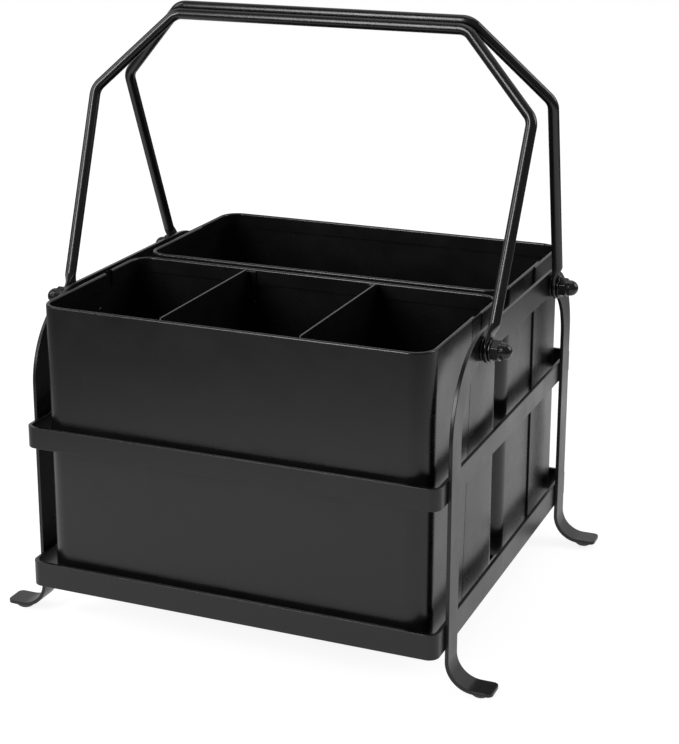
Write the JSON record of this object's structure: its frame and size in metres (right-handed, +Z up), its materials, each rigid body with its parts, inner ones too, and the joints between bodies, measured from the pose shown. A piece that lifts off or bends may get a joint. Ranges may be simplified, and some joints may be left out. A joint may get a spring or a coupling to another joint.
{
  "type": "cutlery caddy",
  "caption": "Black steel table caddy: lift-out cutlery bin with dividers and a rear napkin bin in a strip frame with feet, under folding rod handles.",
  "frame": {"origin": "on the table, midway between the four feet", "axes": "+X to the caddy's right, +Y to its rear, +Z up"},
  "size_m": [0.2248, 0.192, 0.2607],
  "materials": {
    "frame_coat": "matte black powder coat on steel strip",
    "handle_coat": "satin black powder coat on steel rod",
    "bin_coat": "matte black powder coat on sheet steel",
    "hardware_black": "satin black coated steel fasteners",
    "foot_rubber": "matte black moulded rubber"
  },
  "bodies": {
    "frame": {"left_side_frame": "frame_coat", "right_side_frame": "frame_coat", "mid_band": "frame_coat", "lower_band": "frame_coat", "left_base_strap": "frame_coat", "right_base_strap": "frame_coat", "front_left_foot_pad": "foot_rubber", "front_right_foot_pad": "foot_rubber", "rear_left_foot_pad": "foot_rubber", "rear_right_foot_pad": "foot_rubber", "pivot_bolts": "hardware_black", "pivot_washers": "hardware_black", "acorn_nuts": "hardware_black"},
    "front_handle": {"front_handle": "handle_coat"},
    "rear_handle": {"rear_handle": "handle_coat"},
    "front_bin": {"front_bin_front_shell": "bin_coat", "front_bin_rear_shell": "bin_coat", "front_bin_floor": "bin_coat", "left_divider": "bin_coat", "right_divider": "bin_coat"},
    "rear_bin": {"rear_bin_front_shell": "bin_coat", "rear_bin_rear_shell": "bin_coat", "rear_bin_floor": "bin_coat"}
  },
  "joints": [
    {"name": "front_handle_fold", "type": "hinge", "parent": "frame", "child": "front_handle", "pos_m": [0, -0.05, 0.1358], "axis": [1, 0, 0], "range_deg": [0, 178]},
    {"name": "rear_handle_fold", "type": "hinge", "parent": "frame", "child": "rear_handle", "pos_m": [0, 0.05, 0.1358], "axis": [-1, 0, 0], "range_deg": [0, 174.5]},
    {"name": "front_bin_lift", "type": "slide", "parent": "frame", "child": "front_bin", "axis": [0, 0, 1], "range_m": [0, 0.08]},
    {"name": "rear_bin_lift", "type": "slide", "parent": "frame", "child": "rear_bin", "axis": [0, 0, 1], "range_m": [0, 0.08]}
  ]
}
